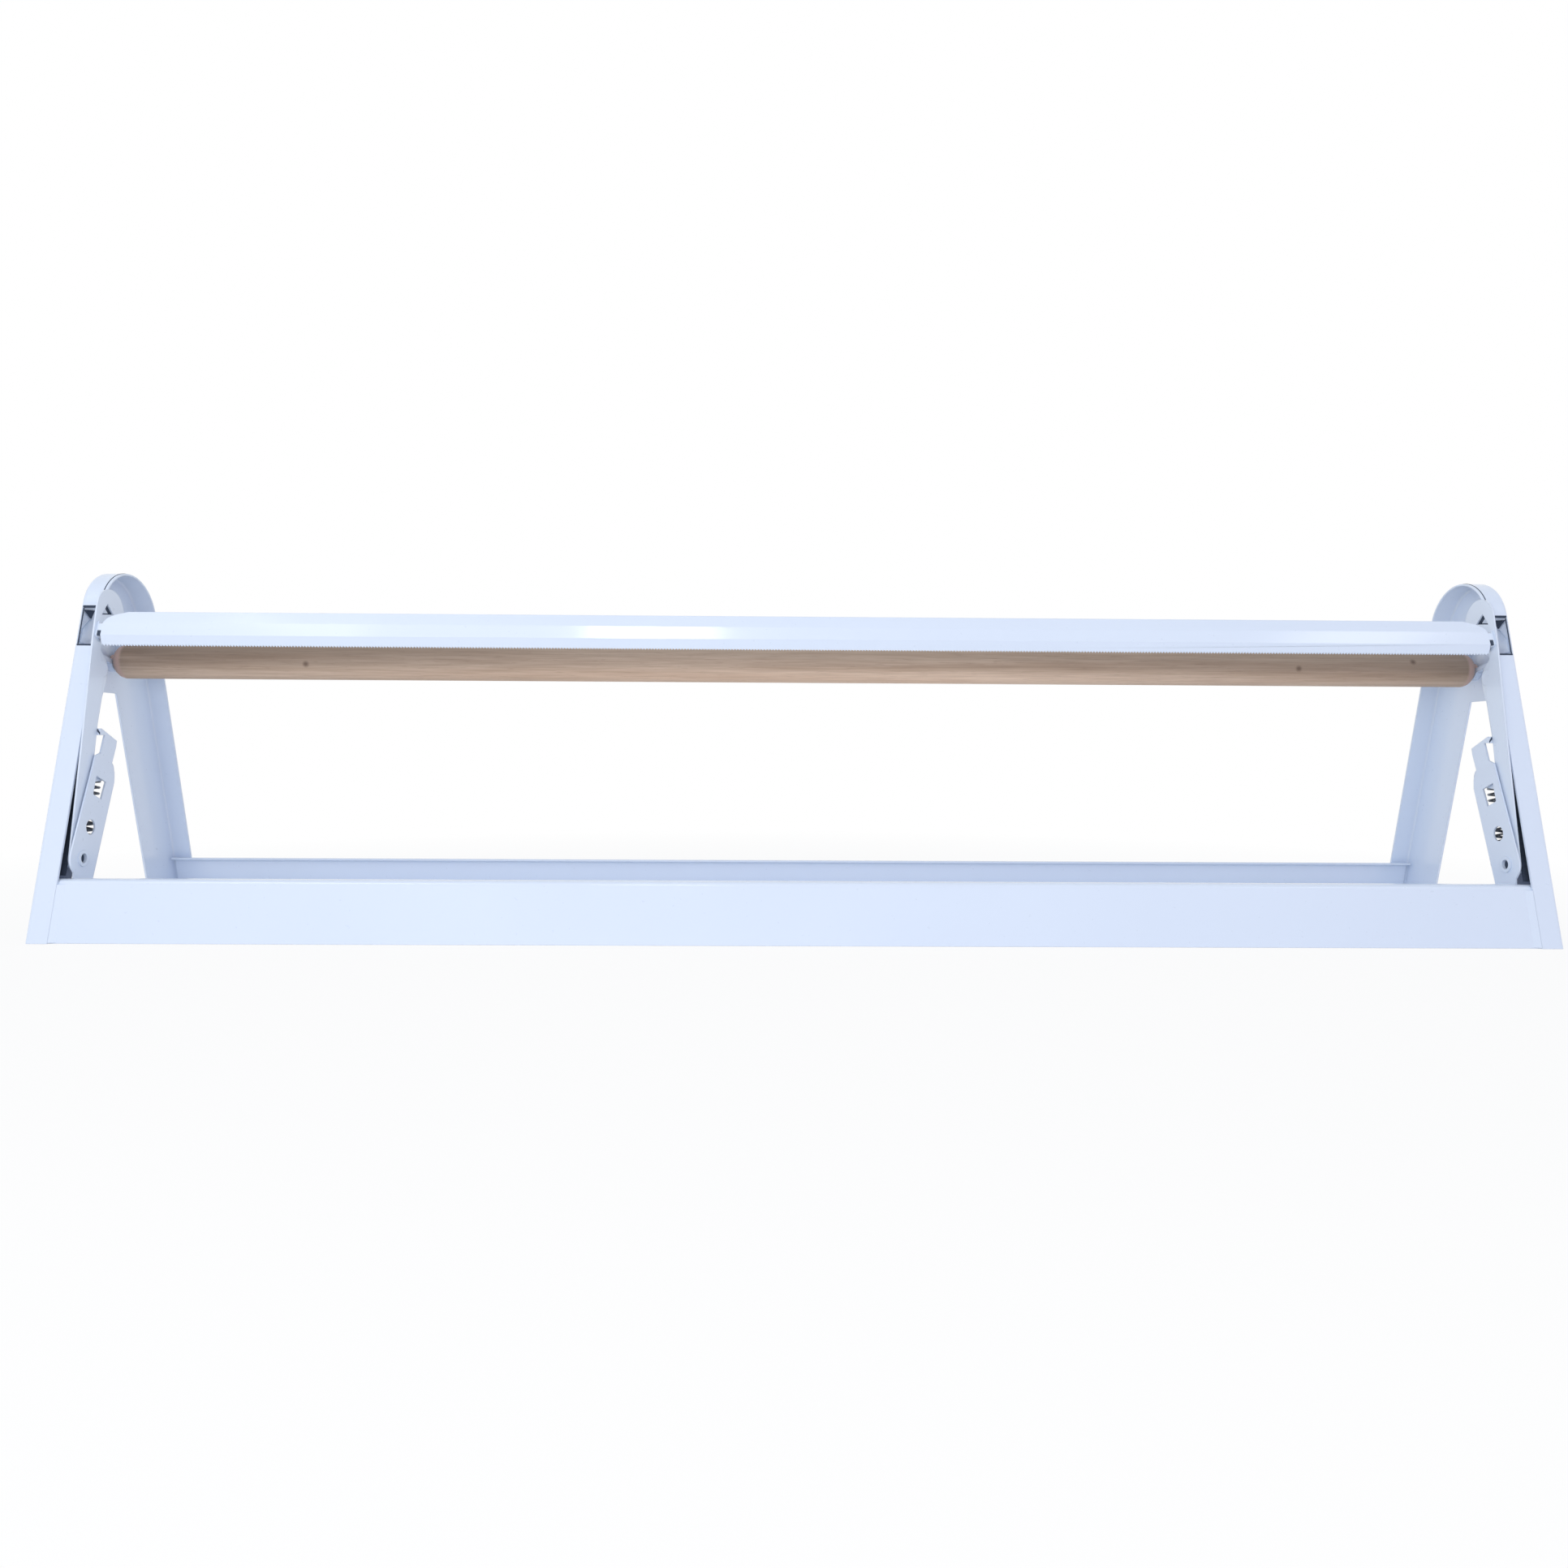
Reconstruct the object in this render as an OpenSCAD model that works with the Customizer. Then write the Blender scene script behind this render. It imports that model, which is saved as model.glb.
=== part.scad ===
// Tabletop paper roll dispenser: two sheet-steel A-frame ends joined by two base rails,
// a saw-edged cutter blade on two sprung arms, and a wooden bar that carries the roll.
// The front is -Y, +X runs along the bar, +Z is up and the table is z = 0.

/* [Overall] */
// Width across the two end frames
overall_w = 990; // [700:10:1200]
// Depth of the end frames at the table, front to back
base_d = 190; // [180:2:220]
// Height to the top of the arches
overall_h = 250; // [240:1:280]
// Thickness of the steel sheet of the frames and rails
sheet_t = 1.5; // [1.2:0.1:2]

/* [End frames] */
// Outer radius of the arch over the top
arch_r = 34; // [30:1:38]
// Width of the flange turned in along the edge
flange_w = 15; // [13:0.5:18]
// Outer radius of the fold between web and flange
fold_r = 3; // [2.2:0.2:4]
// Width of the front leg, measured level
front_leg_w = 37; // [35:1:42]
// Width of the rear leg, measured level
rear_leg_w = 43; // [35:1:46]
// Height of the level edge that joins the legs
gusset_z = 165; // [155:1:172]

/* [Bar window] */
// Rise of the window's sill above the bar's axis
window_rise = 7.5; // [6:0.5:10]
// Height of the window in the front flange
window_h = 28; // [22:1:28]
// Lip of the fold left between the window and the web
window_lip = 0.5; // [0.3:0.1:1.5]

/* [Base rails] */
// Height of the base rails
rail_h = 40; // [30:1:42]
// Outer radius of the rolled top edge of a rail
rail_bend_r = 4; // [3:0.5:6]
// Length of the return behind the rolled edge
rail_return = 4; // [2:0.5:6]
// Depth of the foot of a rail on the table
rail_foot_d = 42; // [40:1:50]
// Length cut away from the return at each end of the front rail
rail_notch_l = 21; // [18:1:30]

/* [Mounting] */
// Distance of a mounting hole from the end of the dispenser
mount_inset = 75; // [60:1:120]
// Radius of the mounting holes
mount_hole_r = 3.5; // [2.5:0.25:4.5]

/* [Roll bar] */
// Drop of the bar's axis below the top of the arches
bar_drop = 62.5; // [60:0.5:66]
// Radius of the wooden bar
bar_r = 12; // [10:0.5:14]
// Radius of the turned journals at its ends
journal_r = 5; // [4:0.25:6]
// Length of a journal
journal_l = 3.5; // [3:0.5:6]
// Gap between a journal's end and the web
bar_end_gap = 1.5; // [1:0.25:2.5]

/* [Bar cradles] */
// Width of the cradle strap along the bar
cradle_w = 4.5; // [3:0.5:4.5]
// Thickness of the cradle strap
cradle_t = 2; // [1.5:0.25:3]
// Radial gap between journal and cradle
journal_clear = 0.3; // [0.3:0.05:0.6]
// Height of the cradle's back wall above the bar's axis
cradle_back_h = 17; // [12:1:20]

/* [Cutter blade] */
// Reach of the blade in front of the bar's axis
blade_reach = 45; // [42:0.5:50]
// Rise of the blade's middle above the bar's axis
blade_rise = 16.5; // [15:0.5:20]
// Height of the blade, from its top edge to the tips of its teeth
blade_h = 24; // [22:0.5:27]
// Thickness of the blade, measured level
blade_t = 1.2; // [1:0.1:1.4]
// Spacing of the saw teeth
tooth_pitch = 2; // [2:0.25:6]
// Depth of the saw teeth
tooth_h = 1.25; // [1:0.25:3]
// Length of the slope at each of the blade's upper corners
blade_corner_l = 15; // [6:1:20]
// Height of that slope
blade_corner_h = 7.5; // [4:0.5:8]
// Gap between the blade's strip and its ears, bridged by a neck
blade_end_gap = 2.4; // [1.5:0.1:4]

/* [Blade arms] */
// Thickness of an arm
arm_t = 1.2; // [1:0.1:2]
// Gap between an arm and the flange's edge
arm_gap = 1.3; // [0.4:0.1:1.6]
// Radius of the arm's round foot
arm_foot_r = 10.5; // [9:0.5:13]
// Radius of the arm's round head
arm_head_r = 15.5; // [13:0.5:16]
// Radius of the tongue that carries the upper spring stud
tongue_r = 6.5; // [5:0.5:7]

/* [Stop brackets] */
// Thickness of a bracket
bracket_t = 1.2; // [1:0.1:2]
// Height of the bracket above the pivot
bracket_h = 86.5; // [82:0.5:92]
// Radius of the bracket's round lower end
bracket_end_r = 13; // [12:0.5:15]
// Radius of the round hole half way up
bracket_hole_r = 5; // [3:0.5:6]
// Gap between the stop tab and the arm at rest
stop_gap = 0.3; // [0.3:0.1:1]
// Length of the foot that is riveted to the front rail
bracket_foot_l = 16; // [14:1:24]

/* [Pivots] */
// Height of the arms' pivots
pivot_z = 52; // [48:1:56]
// Distance of the pivots behind the front edge of the leg, measured level
pivot_back = 16; // [14:0.5:18]
// Radius of the pivot rivet's shank
pivot_r = 4; // [3:0.25:5]
// Radial running gap in the arm and bracket
pivot_clear = 0.05; // [0.02:0.01:0.1]
// Thickness of the washer between arm and bracket
washer_t = 0.8; // [0.5:0.1:1.2]
// Gap on each side of that washer
washer_gap = 0.1; // [0.1:0.05:0.3]

/* [Springs] */
// Radius of the spring wire
wire_r = 0.7; // [0.4:0.1:0.8]
// Number of coils
coil_n = 11; // [6:1:14]
// Radius of the studs that hold the spring's loops
stud_r = 2.5; // [1.5:0.1:2.8]
// Gap between a loop and its stud
loop_clear = 0.3; // [0.3:0.05:0.6]

/* [Rivets] */
// Radius of the blade rivets
blade_rivet_r = 1.6; // [1:0.1:2]
// Radius of the bracket rivets
bracket_rivet_r = 2; // [1.5:0.1:2.5]
// Radial gap round a rivet
rivet_clear = 0.05; // [0.02:0.01:0.1]

/* [Hidden] */
$fn = 64;

ENAMEL = [0.88, 0.91, 0.97];
STEEL = [0.62, 0.64, 0.67];
NYLON = [0.93, 0.93, 0.9];
WOOD = [0.72, 0.58, 0.45];
CUT = 1;                       // overrun of a cutting tool past the face it cuts
SIDES = [-1, 1];               // left, right
SEAM = 0.03;                   // the sheet of a bend ends this far inside the flat sheet that it runs into
ARCH_LAP = 1;                  // angle by which the arch runs on into each leg
RAIL_LAP = 5;                  // angle by which a rail's rolled edge runs on into the wall and the return

// Planes across the width, for the right-hand side
half_w = overall_w / 2;
web_in = half_w - sheet_t;
flange_in = half_w - flange_w;
arm_out = flange_in - arm_gap;
arm_in = arm_out - arm_t;
bracket_out = arm_in - washer_t - 2 * washer_gap;
bracket_in = bracket_out - bracket_t;
spring_x = (arm_out + web_in) / 2;
rail_end = half_w - fold_r;

// The end frame's outline: straight legs tangent to the arch
arch_z = overall_h - arch_r;
leg_r = arch_r + SEAM;
lean = acos(leg_r / norm([base_d / 2, arch_z])) - atan2(arch_z, base_d / 2);
level_t = sheet_t / cos(lean);             // sheet thickness of a leaning wall, measured level
leg_top = leg_r * [-cos(lean), sin(lean)] + [0, arch_z];
leg_l = norm(leg_top - [-base_d / 2, 0]);
function front_y(z) = -base_d / 2 + z * tan(lean);
rail_bend = [front_y(rail_h - rail_bend_r) + level_t + rail_bend_r / cos(lean), rail_h - rail_bend_r];

// Main axes, as [y, z]
bar = [0, overall_h - bar_drop];
pivot = [front_y(pivot_z) + pivot_back, pivot_z];
blade = bar + [-blade_reach, blade_rise];
window_z = bar[1] + window_rise;

// Blade facets from the top edge to the saw edge
blade_top = blade + blade_h * [0.269, 0.596];
blade_brow = blade + blade_h * [0.077, 0.269];
blade_nose = blade + blade_h * [-0.058, -0.096];
blade_lip = blade + blade_h * [0.019, -0.404];
blade_end = arm_in;                        // the blade's ears lie against the arms
ear_t = blade_t;
strip_end = blade_end - ear_t - blade_end_gap;
ear_back = 0.423 * blade_h;
ear_half_h = 0.231 * blade_h;
blade_rivet_dz = 0.154 * blade_h;
blade_rivet_back = 0.212 * blade_h;
neck_top = blade_brow + 0.08 * (blade_nose - blade_brow);
neck_low = blade_brow + 0.62 * (blade_nose - blade_brow);

// Arm outline: its lower part follows the bracket's height, its upper part the head's radius
arm_lean = 13.5;                           // lean of the lower front edge
arm_foot_front = pivot + arm_foot_r * [-cos(arm_lean), sin(arm_lean)];
arm_bend = pivot + bracket_h * [0.075, 1.04];
arm_back_high = pivot + bracket_h * [0.243, 1.04];
arm_back_low = pivot + bracket_h * [0.156, 0.578];
arm_waist = pivot + bracket_h * [0.064, 0.243];
tongue = pivot + bracket_h * [0.382, 0.671];   // upper spring stud
tongue_root_high = pivot + bracket_h * [0.16, 0.746];
arm_brow = blade + arm_head_r * [-0.161, -0.129];
arm_head = blade + arm_head_r * [1.129, 1];
arm_head_front = arm_head + arm_head_r * [-cos(arm_lean), sin(arm_lean)];
arm_neck = blade + arm_head_r * [0.323, -0.806];
arm_ear = blade + arm_head_r * [0.516, -1.581];
arm_ear_r = 0.355 * arm_head_r;
arm_ear_low = blade + arm_head_r * [0.484, -2.613];
arm_hole = [for (p = [[0.89, 1.323], [0.465, 0.806], [1.316, 0.903]]) blade + arm_head_r * p];
function arm_back_y(z) = arm_back_low[0]
    + (z - arm_back_low[1]) * (arm_back_high - arm_back_low)[0] / (arm_back_high - arm_back_low)[1];

// Bracket outline
bracket_lean = 24;
tab_z = [for (share = [0.948, 1]) pivot_z + share * bracket_h];
tab_reach = arm_t + washer_t + 2 * washer_gap;   // the tab covers the arm's thickness
bracket_front = pivot + bracket_end_r * [-cos(bracket_lean), sin(bracket_lean)];
bracket_shoulder = [for (p = [[0.174, 0.788], [0.24, 0.809], [0.295, 0.948]]) pivot + bracket_h * p];
bracket_back = [
    for (p = [[0.455, 0.906], [0.443, 0.855], [0.385, 0.723], [0.42, 0.653], [0.417, 0.578]])
        pivot + bracket_h * p
];
bracket_heel = pivot + bracket_end_r * [0.8, -1.18];
bracket_window = [
    for (p = [[0.18, 0.632], [0.303, 0.578], [0.24, 0.442], [0.135, 0.488]]) pivot + bracket_h * p
];
bracket_hole = pivot + bracket_h * [0.1006, 0.2335];
bracket_neck = [for (share = [-0.75, 0.8]) pivot[0] + share * bracket_end_r];   // front and back, below the pivot
bracket_rivet_y = [for (share = [-0.2, 0.47]) pivot[0] + share * bracket_end_r];
bracket_rivet_x = bracket_in - bracket_foot_l / 2;

// Pivot rivet
shoulder_r = 1.5 * pivot_r;
pivot_head_r = 1.375 * pivot_r;
pivot_head_t = 0.2 * pivot_r;
pivot_bore_r = 0.8 * pivot_r;
pivot_bore_l = 3.5 * pivot_r;
washer_r = 2 * pivot_r;

// Spring between the studs; its coils and its end loops share one radius
coil_r = stud_r + loop_clear + wire_r;
stud_head_r = 1.55 * stud_r;
stud_head_t = 0.45 * stud_r;
stud_reach = coil_r + 1.7 * wire_r;
lower_stud = pivot + bracket_h * [0.252, -0.0115];
lug_r = 2.6 * stud_r;                      // round lug on the web's rear edge, under the lower stud
spring_l = norm(tongue - lower_stud);
spring_lean = atan2((tongue - lower_stud)[0], (tongue - lower_stud)[1]);
lead_l = 10 * wire_r;                      // straight lead between a loop and the coils
WIRE_SIDES = 6;
COIL_RINGS = 8;
LOOP_TURN = 210;
LOOP_STEP = 30;

// Roll bar
bar_end = web_in - bar_end_gap;
bar_round = bar_r - journal_r;
bar_body = bar_end - journal_l - bar_round;

// Profiles drawn as [y, z], each extruded from x0 to x1
module along_x(x0, x1) {
    for (i = [0:$children - 1])
        translate([x0, 0, 0])
            rotate([90, 0, 90])
                linear_extrude(height = x1 - x0)
                    children(i);
}

// A round bar along X at [y, z], from x0 to x1
module rod(at, r, x0, x1) {
    translate([x0, at[0], at[1]])
        rotate([0, 90, 0])
            cylinder(r = r, h = x1 - x0);
}

// The right-hand piece, or its mirror image on the left
module on_side(side) {
    mirror([side < 0 ? 1 : 0, 0, 0])
        children();
}

// Section of the folded edge: web along +y at x = 0, flange along -x, its sheet thinned by inset on each face
module fold_section(web_w, inset = 0) {
    translate([inset - sheet_t, fold_r])
        square([sheet_t - 2 * inset, web_w - fold_r]);
    translate([inset - flange_w, inset])
        square([flange_w - fold_r - inset, sheet_t - 2 * inset]);
    intersection() {
        translate([-fold_r, fold_r])
            difference() {
                circle(r = fold_r - inset);
                circle(r = fold_r - sheet_t + inset);
            }
        translate([-fold_r, 0])
            square(fold_r);
    }
}

module front_leg(web_w) {
    translate([half_w, -base_d / 2, 0])
        rotate([-lean, 0, 0])
            linear_extrude(height = leg_l)
                fold_section(web_w * cos(lean));
}

module arch() {
    translate([half_w, 0, arch_z])
        rotate([0, 90, 0])
            rotate([0, 0, 90 + lean - ARCH_LAP])
                rotate_extrude(angle = 180 - 2 * (lean - ARCH_LAP))
                    translate([leg_r, 0])
                        rotate(90)
                            fold_section(arch_r / 2, SEAM);
}

// Plate that closes the top of the frame between the legs
module head_plate() {
    edge = fold_r + sheet_t;
    inset = edge / cos(lean);
    along_x(web_in, half_w) {
        translate([0, arch_z])
            circle(r = arch_r - edge);
        polygon([
            [front_y(gusset_z) + inset, gusset_z],
            [leg_top[0] + edge * cos(lean), leg_top[1] - edge * sin(lean)],
            [-leg_top[0] - edge * cos(lean), leg_top[1] - edge * sin(lean)],
            [-front_y(gusset_z) - inset, gusset_z]
        ]);
    }
}

// Lug on the rear edge of the front leg's web, for the lower spring stud
module spring_lug() {
    along_x(web_in, half_w) {
        translate(lower_stud)
            circle(r = lug_r);
        polygon([for (p = [[0, 1], [0, -1], [-2, -1.6], [-2, 1.6]]) lower_stud + lug_r * p]);
    }
}

module end_frame(side) {
    color(ENAMEL)
        on_side(side)
            difference() {
                union() {
                    front_leg(front_leg_w);
                    mirror([0, 1, 0])
                        front_leg(rear_leg_w);
                    arch();
                    head_plate();
                    spring_lug();
                }
                translate([0, -base_d, -base_d])
                    cube([overall_w, 2 * base_d, base_d]);
                translate([flange_in - CUT, -base_d / 2, window_z])
                    cube([flange_w - sheet_t - window_lip + CUT, base_d / 2, window_h]);
            }
}

// A base rail: leaning wall, rolled top edge with a return, and a foot
module rail_body() {
    wall_y = -base_d / 2 + level_t;
    function out(turn) = [-cos(turn), sin(turn)];
    along_x(-rail_end, rail_end) {
        polygon([
            [wall_y, 0],
            rail_bend + rail_bend_r * out(lean),
            rail_bend + (rail_bend_r - sheet_t) * out(lean),
            [wall_y + level_t, 0]
        ]);
        intersection() {
            translate(rail_bend)
                difference() {
                    circle(r = rail_bend_r - SEAM);
                    circle(r = rail_bend_r - sheet_t + SEAM);
                }
            polygon(concat(
                [rail_bend],
                [for (turn = [lean - RAIL_LAP, 45, 90 + RAIL_LAP]) rail_bend + 2 * rail_bend_r * out(turn)]
            ));
        }
        translate([rail_bend[0], rail_h - sheet_t])
            square([rail_return, sheet_t]);
        translate([wall_y + level_t / 2, 0])
            square([rail_foot_d - level_t / 2, sheet_t]);
    }
}

module rail_holes() {
    for (side = SIDES)
        translate([side * (half_w - mount_inset), -base_d / 2 + level_t + rail_foot_d / 2, -CUT])
            cylinder(r = mount_hole_r, h = sheet_t + 2 * CUT);
}

module front_base_rail() {
    color(ENAMEL)
        difference() {
            rail_body();
            rail_holes();
            for (side = SIDES) {
                on_side(side)
                    translate([rail_end - rail_notch_l, rail_bend[0] + sheet_t, rail_h - 2 * sheet_t])
                        cube([rail_notch_l + CUT, base_d / 2, 2 * sheet_t + CUT]);
                for (y = bracket_rivet_y)
                    translate([side * bracket_rivet_x, y, -CUT])
                        cylinder(r = bracket_rivet_r + rivet_clear, h = sheet_t + 2 * CUT);
            }
        }
}

module rear_base_rail() {
    color(ENAMEL)
        mirror([0, 1, 0])
            difference() {
                rail_body();
                rail_holes();
            }
}

// Strap welded to the web: a ramp from the window, a round seat and a back wall
module bar_cradle(side) {
    seat_r = journal_r + journal_clear;
    sill = [front_y(window_z) + level_t + journal_clear, window_z + cradle_t / 2];
    color(ENAMEL)
        on_side(side)
            along_x(web_in - cradle_w, web_in) {
                polygon([
                    sill,
                    bar + [-seat_r, cradle_t / 2],
                    bar + [-seat_r, -cradle_t],
                    bar + [-seat_r - cradle_t, -cradle_t],
                    sill - [0, cradle_t]
                ]);
                intersection() {
                    translate(bar)
                        difference() {
                            circle(r = seat_r + cradle_t);
                            circle(r = seat_r);
                        }
                    translate(bar - [2 * seat_r, 2 * seat_r])
                        square([4 * seat_r, 2 * seat_r]);
                }
                translate(bar + [seat_r, 0])
                    square([cradle_t, cradle_back_h]);
            }
}

module stop_bracket(side) {
    tab = [for (z = tab_z) [arm_back_y(z) + stop_gap, z]];
    color(ENAMEL)
        on_side(side)
            difference() {
                union() {
                    along_x(bracket_in, bracket_out) {
                        polygon(concat(
                            [bracket_front], bracket_shoulder, tab, [tab[1] + [bracket_t, 0]],
                            bracket_back, [bracket_heel, pivot]
                        ));
                        intersection() {
                            translate(pivot)
                                circle(r = bracket_end_r);
                            polygon([
                                pivot + bracket_end_r * [-2, 2], bracket_back[len(bracket_back) - 1],
                                bracket_heel, pivot + bracket_end_r * [0.8, -2], pivot + bracket_end_r * [-2, -2]
                            ]);
                        }
                        translate([bracket_neck[0], sheet_t])
                            square([bracket_neck[1] - bracket_neck[0], pivot_z - sheet_t]);
                    }
                    along_x(bracket_in, bracket_out + tab_reach)
                        polygon([tab[0], tab[1], tab[1] + [bracket_t, 0], tab[0] + [bracket_t, 0]]);
                    translate([bracket_in - bracket_foot_l, bracket_neck[0], sheet_t])
                        cube([bracket_foot_l + CUT, bracket_neck[1] - bracket_neck[0], bracket_t]);
                }
                along_x(bracket_in - CUT, bracket_out + CUT)
                    polygon(bracket_window);
                rod(bracket_hole, bracket_hole_r, bracket_in - CUT, bracket_out + CUT);
                rod(pivot, pivot_r + pivot_clear, bracket_in - CUT, bracket_out + CUT);
                for (y = bracket_rivet_y)
                    translate([bracket_rivet_x, y, 0])
                        cylinder(r = bracket_rivet_r + rivet_clear, h = sheet_t + bracket_t + CUT);
            }
}

// Hollow shouldered rivet: welded to the web, it carries the arm and the bracket
module pivot_rivet(side) {
    shoulder_end = arm_out + arm_gap / 2;
    head_face = bracket_in - pivot_head_t;
    color(ENAMEL)
        on_side(side)
            difference() {
                union() {
                    rod(pivot, shoulder_r, shoulder_end, web_in);
                    rod(pivot, pivot_r, bracket_in, shoulder_end);
                    rod(pivot, pivot_head_r, head_face, bracket_in);
                }
                rod(pivot, pivot_bore_r, head_face - CUT, head_face + pivot_bore_l);
            }
}

module pivot_washer(side) {
    color(NYLON)
        on_side(side)
            difference() {
                rod(pivot, washer_r, bracket_out + washer_gap, arm_in - washer_gap);
                rod(pivot, pivot_r + pivot_clear, bracket_out, arm_in);
            }
}

// Headed stud on the web that holds the spring's lower loop
module lower_stud(side) {
    tip = spring_x - stud_reach;
    color(STEEL)
        on_side(side) {
            rod(lower_stud, stud_r, tip, web_in);
            rod(lower_stud, stud_head_r, tip, tip + stud_head_t);
        }
}

// Headed stud on the arm's tongue that holds the spring's upper loop
module upper_stud(side) {
    tip = spring_x + stud_reach;
    color(STEEL)
        on_side(side) {
            rod(tongue, stud_r, arm_out, tip);
            rod(tongue, stud_head_r, tip - stud_head_t, tip);
        }
}

// Domed rivets that hold the bracket feet to the front rail
module bracket_rivets() {
    foot_top = sheet_t + bracket_t;
    color(STEEL)
        for (side = SIDES, y = bracket_rivet_y)
            translate([side * bracket_rivet_x, y, 0]) {
                cylinder(r = bracket_rivet_r, h = foot_top);
                translate([0, 0, foot_top])
                    domed_head(bracket_rivet_r);
            }
}

// Low round head on a shank of radius r
module domed_head(r) {
    rotate_extrude()
        intersection() {
            translate([0, -r])
                circle(r = 2 * r);
            square([2 * r, r]);
        }
}

module blade_arm(side) {
    color(ENAMEL)
        on_side(side)
            difference() {
                along_x(arm_in, arm_out) {
                    polygon([
                        arm_foot_front, arm_bend, arm_brow, arm_head_front, arm_head, arm_neck,
                        arm_ear, arm_ear_low, arm_back_high, arm_back_low, arm_waist, pivot
                    ]);
                    polygon([tongue_root_high, tongue + [0, tongue_r], tongue - [0, tongue_r], arm_back_low]);
                    translate(pivot)
                        circle(r = arm_foot_r);
                    translate(tongue)
                        circle(r = tongue_r);
                    translate(arm_ear)
                        circle(r = arm_ear_r);
                    translate(arm_head)
                        circle(r = arm_head_r);
                }
                along_x(arm_in - CUT, arm_out + CUT)
                    polygon(arm_hole);
                rod(pivot, pivot_r + pivot_clear, arm_in - CUT, arm_out + CUT);
                blade_rivet_shanks(blade_rivet_r + rivet_clear, arm_in - CUT, arm_out + CUT);
            }
}

module blade_rivet_shanks(r, x0, x1) {
    for (dz = [-blade_rivet_dz, blade_rivet_dz])
        rod(blade + [blade_rivet_back, dz], r, x0, x1);
}

// Strip with a saw-toothed far edge, drawn from y = 0 and centred on x = 0
module saw_strip(half_l, depth) {
    teeth = floor(2 * half_l / tooth_pitch);
    start = -teeth * tooth_pitch / 2;
    root = depth - tooth_h;
    polygon(concat(
        [[half_l, 0], [-half_l, 0], [-half_l, root], [start, root]],
        [for (i = [0:teeth - 1], p = [[0.5, depth], [1, root]]) [start + (i + p[0]) * tooth_pitch, p[1]]],
        [[half_l, root]]
    ));
}

module cutter_blade() {
    facets = [blade_top, blade_brow, blade_nose];
    lip = blade_lip - blade_nose;
    color(ENAMEL)
        difference() {
            union() {
                along_x(-strip_end, strip_end)
                    polygon(concat(facets, [for (i = [2:-1:0]) facets[i] + [blade_t, 0]]));
                translate([0, blade_nose[0], blade_nose[1]])
                    rotate([atan2(lip[1], lip[0]), 0, 0])
                        linear_extrude(height = blade_t)
                            saw_strip(strip_end, norm(lip));
                for (side = SIDES)
                    on_side(side) {
                        along_x(strip_end - CUT, blade_end - SEAM)
                            polygon([
                                neck_top + [SEAM, 0], neck_low + [SEAM, 0],
                                neck_low + [blade_t - SEAM, 0], neck_top + [blade_t - SEAM, 0]
                            ]);
                        along_x(blade_end - ear_t, blade_end)
                            polygon([
                                blade_brow, blade_nose, [blade_nose[0] + blade_t, blade_nose[1] - blade_t],
                                blade + [ear_back, -ear_half_h], blade + [ear_back, ear_half_h],
                                blade_brow + blade_t * [1, 1]
                            ]);
                    }
            }
            for (side = SIDES)
                on_side(side) {
                    blade_rivet_shanks(blade_rivet_r + rivet_clear, blade_end - ear_t - CUT, blade_end + CUT);
                    translate([strip_end, blade_brow[0] - CUT, blade_top[1]])
                        corner_cut(blade_top[0] - blade_brow[0] + blade_t + 2 * CUT);
                }
        }
}

// What is cut off an upper corner of the blade, run back along +Y from the corner
module corner_cut(depth) {
    slope = [[-1, 0], [-0.45, -0.28], [-0.12, -0.62], [0, -1]];
    translate([0, depth, 0])
        rotate([90, 0, 0])
            linear_extrude(height = depth)
                polygon(concat(
                    [for (p = slope) [p[0] * blade_corner_l, p[1] * blade_corner_h]],
                    [[CUT, -blade_corner_h], [CUT, CUT], [-blade_corner_l, CUT]]
                ));
}

// Rivets through the blade's ears and the arms, flush outside and domed inside
module blade_rivets() {
    ear_face = blade_end - ear_t;
    color(STEEL)
        for (side = SIDES)
            on_side(side) {
                blade_rivet_shanks(blade_rivet_r, ear_face, arm_out);
                for (dz = [-blade_rivet_dz, blade_rivet_dz])
                    translate([ear_face, blade[0] + blade_rivet_back, blade[1] + dz])
                        rotate([0, -90, 0])
                            domed_head(blade_rivet_r);
            }
}

// Centre line of the spring, with z along its axis from the lower stud to the upper one
coil_l = spring_l - 2 * lead_l;
spring_path = concat(
    [for (a = [360 - LOOP_TURN:LOOP_STEP:360]) [0, coil_r * cos(a), coil_r * sin(a)]],
    [[0, coil_r, lead_l / 2]],
    [for (i = [0:coil_n * COIL_RINGS])
        let (a = 360 * i / COIL_RINGS)
        [coil_r * sin(a), coil_r * cos(a), lead_l + coil_l * i / (coil_n * COIL_RINGS)]],
    [[0, coil_r, spring_l - lead_l / 2]],
    [for (a = [0:LOOP_STEP:LOOP_TURN]) [0, coil_r * cos(a), spring_l + coil_r * sin(a)]]
);
spring_last = len(spring_path) - 1;
function unit(v) = v / norm(v);
function tangent(i) = unit(spring_path[min(i + 1, spring_last)] - spring_path[max(i - 1, 0)]);
function square_to(v, t) = unit(v - (v * t) * t);
spring_normals = [
    for (i = 0, n = [1, 0, 0]; i <= spring_last; i = i + 1, n = square_to(n, tangent(min(i, spring_last)))) n
];
spring_gap = min([
    for (i = [0:spring_last - 5], j = [i + 5:spring_last]) norm(spring_path[i] - spring_path[j])
]) - 2 * wire_r;
echo(spring_least_gap = spring_gap);

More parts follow.
